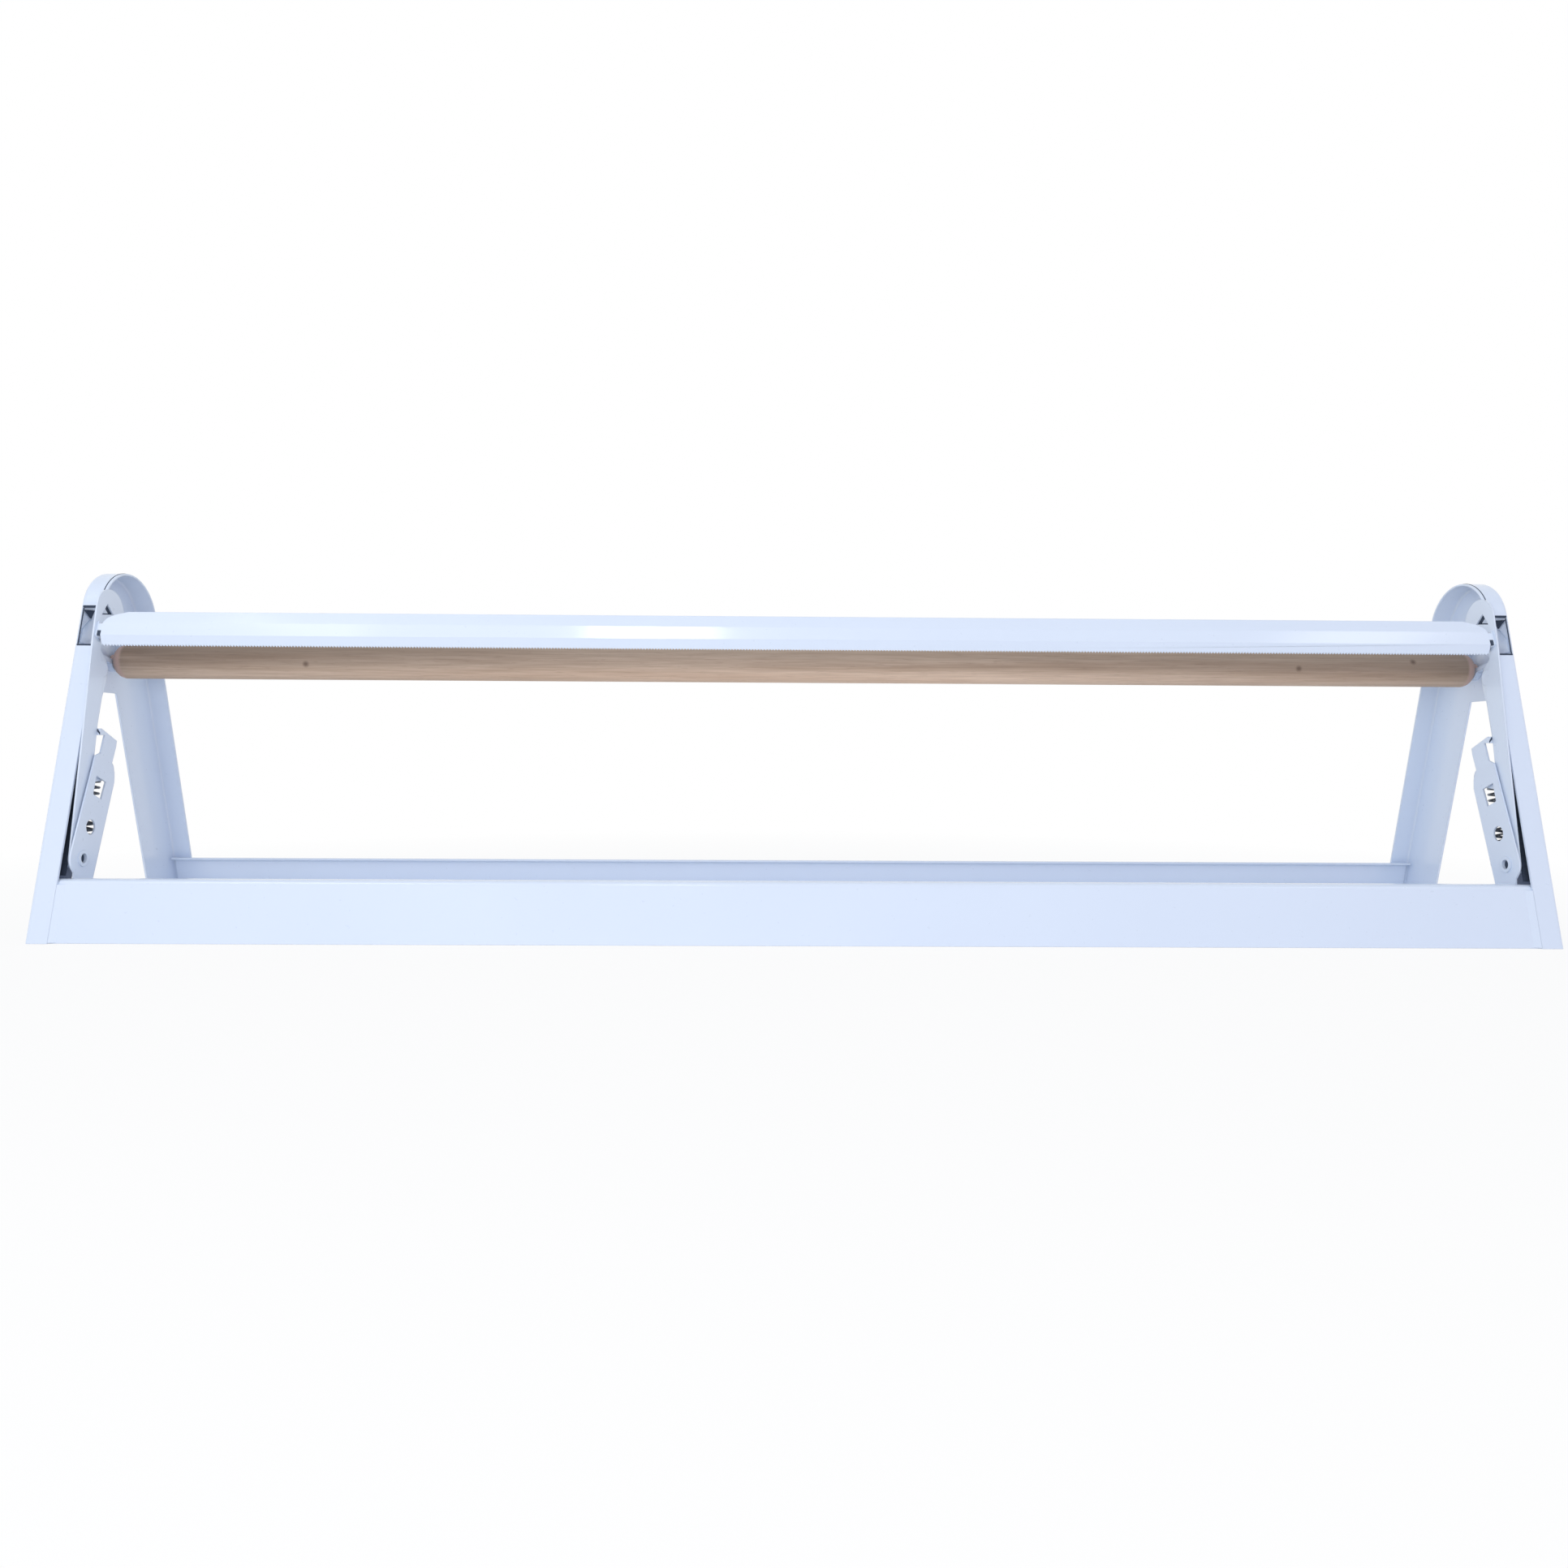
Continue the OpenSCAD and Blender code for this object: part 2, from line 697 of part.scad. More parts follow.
module spring(side) {
    points = [
        for (i = [0:spring_last], k = [0:WIRE_SIDES - 1])
            let (n = spring_normals[i], b = cross(tangent(i), n), a = 360 * k / WIRE_SIDES)
            spring_path[i] + wire_r * (cos(a) * n + sin(a) * b)
    ];
    walls = [
        for (i = [0:spring_last - 1], k = [0:WIRE_SIDES - 1])
            let (p = i * WIRE_SIDES + k, q = i * WIRE_SIDES + (k + 1) % WIRE_SIDES)
            for (f = [[p, p + WIRE_SIDES, q], [q, p + WIRE_SIDES, q + WIRE_SIDES]]) f
    ];
    caps = [
        for (k = [1:WIRE_SIDES - 2], end = [0, 1])
            end == 0 ? [0, k, k + 1] : [0, k + 1, k] + spring_last * WIRE_SIDES * [1, 1, 1]
    ];
    color(STEEL)
        on_side(side)
            translate([spring_x, lower_stud[0], lower_stud[1]])
                rotate([-spring_lean, 0, 0])
                    polyhedron(points = points, faces = concat(walls, caps));
}

// Turned wooden bar with rounded shoulders and a journal at each end
module roll_bar() {
    color(WOOD)
        translate([0, bar[0], bar[1]])
            rotate([0, 90, 0])
                rotate_extrude()
                    for (side = SIDES)
                        mirror([0, side < 0 ? 1 : 0]) {
                            square([bar_r, bar_body]);
                            square([journal_r, bar_end]);
                            intersection() {
                                translate([journal_r, bar_body])
                                    circle(r = bar_round);
                                square([bar_r, bar_end]);
                            }
                        }
}

end_frame(-1);  // left_end_frame
end_frame(1);  // right_end_frame
front_base_rail();
rear_base_rail();
bar_cradle(-1);  // left_bar_cradle
bar_cradle(1);  // right_bar_cradle
stop_bracket(-1);  // left_stop_bracket
stop_bracket(1);  // right_stop_bracket
pivot_rivet(-1);  // left_pivot_rivet
pivot_rivet(1);  // right_pivot_rivet
pivot_washer(-1);  // left_pivot_washer
pivot_washer(1);  // right_pivot_washer
lower_stud(-1);  // left_lower_stud
lower_stud(1);  // right_lower_stud
bracket_rivets();
blade_arm(-1);  // left_blade_arm
blade_arm(1);  // right_blade_arm
cutter_blade();
blade_rivets();
upper_stud(-1);  // left_upper_stud
upper_stud(1);  // right_upper_stud
spring(-1);  // left_spring
spring(1);  // right_spring
roll_bar();
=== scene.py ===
"""Looks of a tabletop paper roll dispenser: enamelled sheet ends and rails, a saw-edged blade on sprung
arms, and a bare wooden bar. Metres, with the front at -Y, +X along the bar and the table at z = 0."""
import math

import bmesh
import bpy
from mathutils import Matrix, Vector


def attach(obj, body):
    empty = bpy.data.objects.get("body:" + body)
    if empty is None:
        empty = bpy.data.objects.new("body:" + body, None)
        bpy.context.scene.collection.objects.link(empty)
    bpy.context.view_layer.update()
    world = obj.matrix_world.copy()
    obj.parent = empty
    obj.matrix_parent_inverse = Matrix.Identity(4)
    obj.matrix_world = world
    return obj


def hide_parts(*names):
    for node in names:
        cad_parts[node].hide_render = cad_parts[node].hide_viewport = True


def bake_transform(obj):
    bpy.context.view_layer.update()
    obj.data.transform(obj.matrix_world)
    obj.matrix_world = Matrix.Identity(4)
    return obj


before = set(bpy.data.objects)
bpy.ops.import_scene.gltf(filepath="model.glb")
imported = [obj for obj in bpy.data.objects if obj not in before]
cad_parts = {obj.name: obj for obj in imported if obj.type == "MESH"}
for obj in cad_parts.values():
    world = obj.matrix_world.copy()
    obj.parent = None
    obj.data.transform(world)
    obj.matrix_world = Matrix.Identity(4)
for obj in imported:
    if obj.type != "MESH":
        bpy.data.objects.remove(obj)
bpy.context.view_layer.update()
scene = bpy.context.scene
scene.view_settings.view_transform = "Standard"

# Camera, at the photograph's place
IMAGE_SIDE = 1932
FOCAL_PIXELS = 1374.5
SENSOR = 36
CLIP_NEAR = 0.01
CLIP_FAR = 50
CAMERA_PLACE = (-0.0210, -0.8082, 0.1191)
CAMERA_YAW = -0.748
CAMERA_PITCH = -1.190
CAMERA_ROLL = -0.317

# Light
WHITE = (1, 1, 1, 1)
AMBIENT_TONE = (0.90, 0.94, 1, 1)
AMBIENT_STRENGTH = 0.69
# Lamps: (place, target, width and height, watts, tint, whether it shows only as a gleam in the gloss)
LAMPS = {
    "key": ((-1.0, -1.8, 1.0), (-0.05, 0, 0.12), (1.4, 0.9), 6, (1, 0.965, 1), False),
    "low_front": ((-0.18, -1.05, 0.25), (-0.10, 0, 0.14), (0.7, 0.25), 1.95, (1, 0.985, 1), False),
    "fill": ((1.6, -1.4, 0.4), (0.2, 0, 0.12), (1.0, 1.0), 1.0, (1, 0.4, 1), False),
    "glint_left": ((-0.31, -1.42, 1.66), (-0.10, 0, 0.2), (0.32, 0.12), 2.4, (1, 1, 1), True),
    "overhead": ((-0.1, -0.2, 1.7), (-0.1, 0, 0.1), (1.4, 0.6), 2.0, (1, 1, 1), False),
    "sheen_left": ((-1.16, -1.1, 1.8), (-0.35, 0, 0.21), (0.6, 0.6), 4, (1, 1, 1), True),
    "glint_right": ((1.36, -1.28, 1.55), (0.38, 0, 0.2), (0.46, 0.12), 0.9, (1, 1, 1), True),
}

# Floor: it fades to white away from the part, and sends up a share of its own light
FLOOR_HALF = 6
FLOOR_CELLS = 8
FLOOR_DROP = 0.0002
FLOOR_TONE = (0.88, 0.89, 0.9, 1)
FLOOR_FADE_REACH = (0.5, 1.1)
FLOOR_NEAR_WHITE = 0.88
FLOOR_GLOW = 0.25

# Tones of the enamels, as (light, deep), and of the dark finishes that paint shade, as (deep, light)
FRAME_TONES = ((0.735, 0.825, 0.965), (0.71, 0.80, 0.945))
BLADE_TONES = ((0.745, 0.835, 0.97), (0.72, 0.81, 0.95))
PAINTED_SHADE_TONES = ((0.034, 0.048, 0.080), (0.062, 0.085, 0.130))
PALER_PAINTED_SHADE_TONES = ((0.13, 0.155, 0.22), (0.19, 0.22, 0.30))

# Wooden bar: its pores, its pin knots and its reddish shoulders
PORE_TONE = (0.24, 0.15, 0.10, 1)
PORE_SHARE = 0.22
KNOTS = ((-0.350, -0.0117, 0.1858), (0.358, -0.0118, 0.1872), (0.441, -0.0108, 0.1926))
KNOT_R = 0.0028
KNOT_CORE_R = 0.25 * KNOT_R
KNOT_TONE = (0.17, 0.10, 0.07, 1)
KNOT_SHARE = 0.75
SHOULDER_X = 0.4812
SHOULDER_BLUR = 0.001
SHOULDER_TONE = (0.62, 0.42, 0.35, 1)
SHOULDER_SHARE = 0.75
# Painted shade on the bar's upper side, under the blade, and painted light on its lower side, from the
# floor; it is
# also darker towards its ends: (from, to, tone at from, tone at to)
WOOD_PAINTED_RISE = (0.1775, 0.1870, 1.33, 0.85)
WOOD_REACH = (0.10, 0.46, 1.0, 0.69)

# Places on the part, as (y, z) on the right-hand side
PIVOT = Vector((-0.06463, 0.052))
LOWER_STUD = PIVOT + Vector((0.0218, -0.0010))
UPPER_STUD = PIVOT + Vector((0.03304, 0.05804))
SPRING_X = 0.4868
WEB_X = 0.4935
LEG_LEAN = math.radians(15.4488)
FRAME_HALF_DEPTH = 0.095
SIDES = {"left": -1, "right": 1}

# All new pieces
SMOOTH_ANGLE = math.radians(40)
BEVEL_STEPS = 2

# Spring
WIRE_R = 0.0009
COIL_R = 0.0035
COIL_TURNS = 11
LEAD_L = 0.007
LEAD_STEPS = 2
WIRE_SIDES = 10
COIL_STEPS = 24
LOOP_TURN = math.radians(240)
LOOP_STEPS = 24
BEND_STEPS = 6
LEAD_BEND_R = 0.0011

# Dark strips inside the front leg, painted shade in the pocket between its flange and the arm: (lowest and
# highest x, lowest and highest z, thickness, depth of its middle behind the flange's face, finish)
SHADE_STRIPS = {
    "flange_shade_strip": ((0.4808, 0.4934), (0.0415, 0.112), 0.0012, 0.0022, "painted_shade"),
    "inner_shade_strip": ((0.4808, 0.4934), (0.0415, 0.097), 0.0012, 0.0089, "painted_shade"),
    "web_shade_strip": ((0.4927, 0.4934), (0.0415, 0.1250), 0.0160, 0.0205, "painted_shade"),
    "foot_shade_strip": ((0.4925, 0.4934), (0.0365, 0.0540), 0.0220, 0.0235, "paler_painted_shade"),
}
SHADE_STRIP_BEVEL = 0.0002

# Dark bars round the window in the front flange, painted shade on its edges: (lowest and highest x, lowest
# and highest z, thickness) of each bar
WINDOW_SHADE_BARS = (
    ((0.4802, 0.4930), (0.2220, 0.2231), 0.0020),
    ((0.4802, 0.4930), (0.1949, 0.1959), 0.0020),
    ((0.4924, 0.4929), (0.1962, 0.2215), 0.0006),
)
WINDOW_SHADE_BAR_DEPTH = 0.0008
WINDOW_SHADE_BAR_BEVEL = 0.00015

# Fillet of filler and paint where the front rail meets a leg's flange: corners as
# (x, depth behind the flange's face), and its lowest and highest z
SEAM_CORNERS = ((0.48005, 0.00008), (0.48005, 0.0021), (0.4735, 0.0021))
SEAM_RISE = (0.0005, 0.0368)

# Dark ring of painted shade behind the triangular hole of an arm, as (y, z) corners a little outside the
# hole
HOLE_SHADE_CORNERS = ((-0.03253, 0.22636), (-0.04220, 0.21458), (-0.02282, 0.21679))
HOLE_SHADE_X = 0.47885
HOLE_SHADE_T = 0.0008
HOLE_SHADE_W = 0.0022

# Flat plates: ((y, z) corners, x of the face nearer the middle, thickness, finish, body)
PLATE_BLANK = 0.03
PLATE_BEVEL = 0.0002
WEB_PLATE_T = 0.0010
# In the thickness of an arm, across the hollows above and below its ear
EAR_GUSSET = (
    ((-0.0412, 0.1935), (-0.0336, 0.1862), (-0.0311, 0.1795), (-0.0330, 0.1722), (-0.0380, 0.1605)),
    0.47754, 0.00112, "blade_enamel", "blade_carrier",
)
# A dark plate of painted shade in the notch between the blade's strip and its ear
NOTCH_SHADE = (
    ((-0.0455, 0.2047), (-0.0464, 0.2013), (-0.0452, 0.2010), (-0.0443, 0.2047)),
    0.4740, 0.0022, "painted_shade", "blade_carrier",
)
# On the web behind the window, a dark plate of painted shade and a guide for the end of the bar
WEB_SHADE_PATCH = (
    ((-0.0318, 0.2204), (-0.0205, 0.2214), (-0.0247, 0.2150)),
    WEB_X - WEB_PLATE_T, WEB_PLATE_T, "painted_shade", "frame",
)
BAR_GUIDE = (
    ((-0.0244, 0.2146), (-0.0335, 0.2072), (-0.0375, 0.1975), (-0.0285, 0.1965), (-0.0165, 0.2146)),
    WEB_X - WEB_PLATE_T, WEB_PLATE_T, "frame_enamel", "frame",
)

# Dark plate of painted shade slanting across the front of a stop bracket's tab, as (x, z) corners, and the
# lean of the tab
TAB_SHADE_CORNERS = ((0.47535, 0.1340), (0.47535, 0.1355), (0.47735, 0.1383), (0.47735, 0.1366))
TAB_SHADE_Z = 0.136
TAB_SHADE_DEPTH = 0.0443
TAB_SHADE_T = 0.0004
TAB_LEAN = math.radians(10.7)

# Bead along the inner edge of the arch's flange, and a dark line of painted shade beside it:
# (x, radius of the arc, radius of the bead, finish)
ARCH_CENTRE_Z = 0.216
ARCH_BEAD = (0.4800, 0.03325, 0.0008, "frame_enamel")
ARCH_SHADE_LINE = (0.4814, 0.03385, 0.0004, "painted_shade")
BEAD_SIDES = 10
BEAD_STEPS = 48
BEAD_START = math.radians(16)

# Dark disc of painted shade in the bore of the pivot rivet
BORE_SHADE_X = 0.4775
BORE_SHADE_R = 0.00315
BORE_SHADE_T = 0.0020
BORE_SHADE_SIDES = 32
BORE_SHADE_RIM = 0.0007
BORE_SHADE_DISH = 0.0004


def aim(yaw, pitch, roll):
    """Columns right, forward and up of a view turned by these angles from looking along +Y."""
    return (
        Matrix.Rotation(math.radians(yaw), 3, "Z")
        @ Matrix.Rotation(math.radians(pitch), 3, "X")
        @ Matrix.Rotation(math.radians(roll), 3, "Y")
    )


def make_camera():
    data = bpy.data.cameras.new("camera")
    data.sensor_width = SENSOR
    data.lens = FOCAL_PIXELS * SENSOR / IMAGE_SIDE
    data.clip_start = CLIP_NEAR
    data.clip_end = CLIP_FAR
    camera = bpy.data.objects.new("camera", data)
    scene.collection.objects.link(camera)
    turned = aim(CAMERA_YAW, CAMERA_PITCH, CAMERA_ROLL)
    matrix = Matrix((turned.col[0], turned.col[2], -turned.col[1])).transposed().to_4x4()
    matrix.translation = CAMERA_PLACE
    camera.matrix_world = matrix
    scene.camera = camera


def put(tree, kind, inputs=None, **settings):
    """One shader node, with its settings and the values or links of its inputs."""
    node = tree.nodes.new(kind)
    for name, value in settings.items():
        setattr(node, name, value)
    for name, value in (inputs or {}).items():
        if isinstance(value, bpy.types.NodeSocket):
            tree.links.new(value, node.inputs[name])
        else:
            node.inputs[name].default_value = value
    return node


def map_range(tree, value, start, end, first, last):
    """A value that runs from first to last as the given one runs from start to end."""
    inputs = {"Value": value, "From Min": start, "From Max": end, "To Min": first, "To Max": last}
    return put(tree, "ShaderNodeMapRange", inputs).outputs[0]


def mix_tones(tree, share, under, over, blend_type="MIX"):
    """The tone under, with this share of the tone over."""
    inputs = {0: share, 6: under, 7: over}
    return put(tree, "ShaderNodeMix", inputs, data_type="RGBA", blend_type=blend_type).outputs[2]


def seen_directly(tree):
    """1 for rays that show the background: from the camera, and off or through gloss."""
    path = put(tree, "ShaderNodeLightPath")
    total = path.outputs["Is Camera Ray"]
    for ray in ("Is Glossy Ray", "Is Transmission Ray"):
        inputs = {0: total, 1: path.outputs[ray]}
        total = put(tree, "ShaderNodeMath", inputs, operation="MAXIMUM").outputs[0]
    return total


def make_world():
    world = bpy.data.worlds.new("studio")
    scene.world = world
    world.use_nodes = True
    tree = world.node_tree
    tree.nodes.clear()
    ambient = put(tree, "ShaderNodeBackground", {"Color": AMBIENT_TONE, "Strength": AMBIENT_STRENGTH})
    white = put(tree, "ShaderNodeBackground", {"Color": WHITE, "Strength": 1})
    inputs = {0: seen_directly(tree), 1: ambient.outputs[0], 2: white.outputs[0]}
    mix = put(tree, "ShaderNodeMixShader", inputs)
    put(tree, "ShaderNodeOutputWorld", {"Surface": mix.outputs[0]})


def make_lamp(name, place, target, size, watts, tint, gleam):
    """An area lamp that either lights the part or, as a gleam, shows only in its gloss."""
    data = bpy.data.lights.new(name, "AREA")
    data.shape = "RECTANGLE"
    data.size, data.size_y = size
    data.energy = watts
    data.color = tint
    lamp = bpy.data.objects.new(name, data)
    lamp.visible_glossy = gleam
    lamp.visible_diffuse = not gleam
    lamp.location = place
    lamp.rotation_euler = (Vector(target) - Vector(place)).to_track_quat("-Z", "Y").to_euler()
    scene.collection.objects.link(lamp)


def make_floor():
    material = bpy.data.materials.new("pale_floor")
    material.use_nodes = True
    tree = material.node_tree
    tree.nodes.clear()
    where = put(tree, "ShaderNodeTexCoord").outputs["Object"]
    reach = put(tree, "ShaderNodeVectorMath", {0: where}, operation="LENGTH").outputs["Value"]
    fade = map_range(tree, reach, *FLOOR_FADE_REACH, FLOOR_NEAR_WHITE, 1)
    share = put(tree, "ShaderNodeMix", {0: seen_directly(tree), 2: FLOOR_GLOW, 3: fade}).outputs[0]
    matt = put(tree, "ShaderNodeBsdfDiffuse", {"Color": FLOOR_TONE})
    white = put(tree, "ShaderNodeEmission", {"Color": WHITE, "Strength": 1})
    mix = put(tree, "ShaderNodeMixShader", {0: share, 1: matt.outputs[0], 2: white.outputs[0]})
    put(tree, "ShaderNodeOutputMaterial", {"Surface": mix.outputs[0]})
    mesh = bpy.data.meshes.new("floor")
    bm = bmesh.new()
    bmesh.ops.create_grid(bm, x_segments=FLOOR_CELLS, y_segments=FLOOR_CELLS, size=FLOOR_HALF)
    bmesh.ops.translate(bm, vec=(0, 0, -FLOOR_DROP), verts=bm.verts)
    bm.to_mesh(mesh)
    bm.free()
    mesh.materials.append(material)
    floor = bpy.data.objects.new("floor", mesh)
    scene.collection.objects.link(floor)


def new_finish(name):
    """A fresh material: its node tree, its Principled shader, and Object coordinates."""
    material = bpy.data.materials.new(name)
    material.use_nodes = True
    tree = material.node_tree
    surface = tree.nodes["Principled BSDF"]
    where = put(tree, "ShaderNodeTexCoord").outputs["Object"]
    return material, tree, surface, where


def noise(tree, where, scale, detail=2.0, stretch=(1, 1, 1), roughness=0.5):
    place = put(tree, "ShaderNodeMapping", {"Vector": where, "Scale": stretch}).outputs[0]
    inputs = {"Vector": place, "Scale": scale, "Detail": detail, "Roughness": roughness}
    return put(tree, "ShaderNodeTexNoise", inputs).outputs["Fac"]


def ramp(tree, value, stops):
    """A colour ramp with the given (place, colour) stops."""
    node = put(tree, "ShaderNodeValToRGB", {"Fac": value})
    elements = node.color_ramp.elements
    while len(elements) < len(stops):
        elements.new(0.5)
    for element, (place, colour) in zip(elements, stops):
        element.position = place
        element.color = (*colour, 1)
    return node.outputs["Color"]


def spread(tree, value, low, high, margin=0.3):
    """A noise value, less this margin at either end, stretched to run from low to high."""
    return map_range(tree, value, margin, 1 - margin, low, high)


def bump(tree, height, strength, distance, under=None):
    inputs = {"Height": height, "Strength": strength, "Distance": distance}
    if under is not None:
        inputs["Normal"] = under
    return put(tree, "ShaderNodeBump", inputs).outputs["Normal"]


def set_inputs(tree, surface, **values):
    """Sets or links sockets of a shader, with _ for each space in their names."""
    for name, value in values.items():
        socket = surface.inputs[name.replace("_", " ")]
        if isinstance(value, bpy.types.NodeSocket):
            tree.links.new(value, socket)
        else:
            socket.default_value = value


def enamel(name, tone, deep_tone):
    """Sprayed gloss enamel: a slow drift of tone, fine orange peel, slow waves and a few nibs of dust."""
    material, tree, surface, where = new_finish(name)
    drift = noise(tree, where, scale=9)
    peel = noise(tree, where, scale=380, detail=1)
    waves = noise(tree, where, scale=28, detail=1)
    cells = put(tree, "ShaderNodeTexVoronoi", {"Vector": where, "Scale": 14}).outputs["Distance"]
    nibs = map_range(tree, cells, start=0.004, end=0.014, first=1, last=0)
    colour = ramp(tree, drift, [(0.15, deep_tone), (0.85, tone)])
    edge = put(tree, "ShaderNodeBevel", {"Radius": 0.0006}, samples=4).outputs["Normal"]
    normal = bump(tree, peel, strength=0.06, distance=0.00012, under=edge)
    normal = bump(tree, waves, strength=0.10, distance=0.0015, under=normal)
    normal = bump(tree, nibs, strength=0.03, distance=0.0001, under=normal)
    set_inputs(
        tree, surface, Base_Color=colour, Normal=normal,
        Roughness=spread(tree, peel, low=0.24, high=0.38, margin=0),
        Coat_Weight=0.5, Coat_Roughness=0.1, IOR=1.5,
    )
    return material


def plated_steel():
    """Zinc plating: pale grey with faint clouds and short scratches."""
    material, tree, surface, where = new_finish("plated_steel_finish")
    clouds = noise(tree, where, scale=160, detail=3)
    scratches = noise(tree, where, scale=900, detail=2, stretch=(0.1, 1, 1))
    colour = ramp(tree, clouds, [(0.35, (0.50, 0.52, 0.56)), (0.65, (0.70, 0.71, 0.73))])
    set_inputs(
        tree, surface, Base_Color=colour, Metallic=1.0,
        Roughness=spread(tree, scratches, low=0.28, high=0.45),
        Normal=bump(tree, scratches, strength=0.2, distance=0.00005),
    )
    return material


def spring_steel():
    """Drawn spring wire: dark, with oil in patches and a fine grain."""
    material, tree, surface, where = new_finish("spring_steel_finish")
    patches = noise(tree, where, scale=300, detail=3)
    grain = noise(tree, where, scale=2500, detail=1)
    colour = ramp(tree, patches, [(0.35, (0.15, 0.16, 0.18)), (0.7, (0.34, 0.35, 0.37))])
    set_inputs(
        tree, surface, Base_Color=colour, Metallic=1.0,
        Roughness=spread(tree, grain, low=0.25, high=0.42),
        Normal=bump(tree, grain, strength=0.15, distance=0.00003),
    )
    return material


def nylon():
    """Moulded nylon: milky white with a faint grain."""
    material, tree, surface, where = new_finish("nylon_finish")
    grain = noise(tree, where, scale=1200, detail=2)
    colour = ramp(tree, grain, [(0.3, (0.74, 0.74, 0.70)), (0.7, (0.84, 0.84, 0.80))])
    set_inputs(
        tree, surface, Base_Color=colour,
        Roughness=spread(tree, grain, low=0.45, high=0.6),
        Normal=bump(tree, grain, strength=0.1, distance=0.00005),
    )
    return material


def painted_shade(name, deep_tone, tone):
    """Painted shade: dark blue-grey and matt, with a soft fine grain, for the pieces that stand in for
    shade.
    """
    material, tree, surface, where = new_finish(name)
    nap = noise(tree, where, scale=1800, detail=3)
    colour = ramp(tree, nap, [(0.3, deep_tone), (0.7, tone)])
    set_inputs(
        tree, surface, Base_Color=colour,
        Roughness=spread(tree, nap, low=0.85, high=0.97),
        Normal=bump(tree, nap, strength=0.5, distance=0.0002),
    )
    return material


def turned_wood():
    """Bare sanded hardwood: long grain along the bar, fine fibres, short pores and a few pin knots."""
    material, tree, surface, where = new_finish("turned_wood_finish")
    bands = noise(tree, where, scale=1, detail=4, stretch=(3, 95, 95), roughness=0.6)
    fibres = noise(tree, where, scale=1, detail=2, stretch=(28, 900, 900))
    specks = noise(tree, where, scale=1, detail=1, stretch=(95, 1500, 1500))
    colour = ramp(tree, bands, [
        (0.25, (0.46, 0.32, 0.225)), (0.45, (0.58, 0.425, 0.315)),
        (0.6, (0.67, 0.51, 0.39)), (0.78, (0.55, 0.40, 0.295)),
    ])
    fibre_tone = ramp(tree, fibres, [(0.3, (0.82, 0.80, 0.78)), (0.7, (1, 1, 1))])
    colour = mix_tones(tree, 1.0, colour, fibre_tone, blend_type="MULTIPLY")
    pores = map_range(tree, specks, start=0.62, end=0.72, first=0, last=PORE_SHARE)
    colour = mix_tones(tree, pores, colour, PORE_TONE)
    for knot in KNOTS:
        away = put(tree, "ShaderNodeVectorMath", {0: where, 1: knot}, operation="DISTANCE").outputs["Value"]
        dark = map_range(tree, away, start=KNOT_CORE_R, end=KNOT_R, first=KNOT_SHARE, last=0)
        colour = mix_tones(tree, dark, colour, KNOT_TONE)
    parts = put(tree, "ShaderNodeSeparateXYZ", {0: where}).outputs
    reach = put(tree, "ShaderNodeMath", {0: parts["X"]}, operation="ABSOLUTE").outputs[0]
    # Painted shade and light: darker up the bar and lighter at its bottom; also darker towards its ends
    for value, shade in ((parts["Z"], WOOD_PAINTED_RISE), (reach, WOOD_REACH)):
        inputs = {0: colour, "Scale": map_range(tree, value, *shade)}
        colour = put(tree, "ShaderNodeVectorMath", inputs, operation="SCALE").outputs[0]
    shoulder = map_range(
        tree, reach, start=SHOULDER_X - SHOULDER_BLUR, end=SHOULDER_X + SHOULDER_BLUR,
        first=0, last=SHOULDER_SHARE,
    )
    colour = mix_tones(tree, shoulder, colour, SHOULDER_TONE)
    normal = bump(tree, fibres, strength=0.25, distance=0.00012)
    normal = bump(tree, pores, strength=0.5, distance=0.0001, under=normal)
    set_inputs(
        tree, surface, Base_Color=colour, Normal=normal,
        Roughness=spread(tree, fibres, low=0.5, high=0.68), IOR=1.45,
    )
    return material


def add_piece(name, bm, finish):
    """A new piece from bm, shaded smooth where its faces meet at a low angle."""
    bmesh.ops.recalc_face_normals(bm, faces=bm.faces)
    for face in bm.faces:
        face.smooth = True
    for edge in bm.edges:
        edge.smooth = len(edge.link_faces) == 2 and edge.calc_face_angle() < SMOOTH_ANGLE
    mesh = bpy.data.meshes.new(name)
    bm.to_mesh(mesh)
    bm.free()
    mesh.materials.append(finishes[finish])
    piece = bpy.data.objects.new(name, mesh)
    scene.collection.objects.link(piece)
    return piece


def last_ring(made):
    """Verts and edges of the last ring of a spin."""
    kinds = (bmesh.types.BMVert, bmesh.types.BMEdge)
    return [item for item in made["geom_last"] if isinstance(item, kinds)]


def close_end(bm, made):
    """Fills the last ring of a spin."""
    edges = [item for item in last_ring(made) if isinstance(item, bmesh.types.BMEdge)]
    bmesh.ops.edgeloop_fill(bm, edges=edges)


def bevel_edges(bm, edges, offset):
    bmesh.ops.bevel(
        bm, geom=edges, offset=offset, affect="EDGES", segments=BEVEL_STEPS, profile=0.5, material=-1
    )


def run_on(bm, move):
    """Runs the faces of a flat shape on by a move, which makes it solid."""
    made = bmesh.ops.extrude_face_region(bm, geom=bm.faces[:])
    moved = [item for item in made["geom"] if isinstance(item, bmesh.types.BMVert)]
    bmesh.ops.translate(bm, vec=move, verts=moved)
    bmesh.ops.recalc_face_normals(bm, faces=bm.faces)


def flange_y(z, depth):
    """The y at this height, this deep behind the face of the front flange."""
    return -FRAME_HALF_DEPTH + z * math.tan(LEG_LEAN) + depth / math.cos(LEG_LEAN)


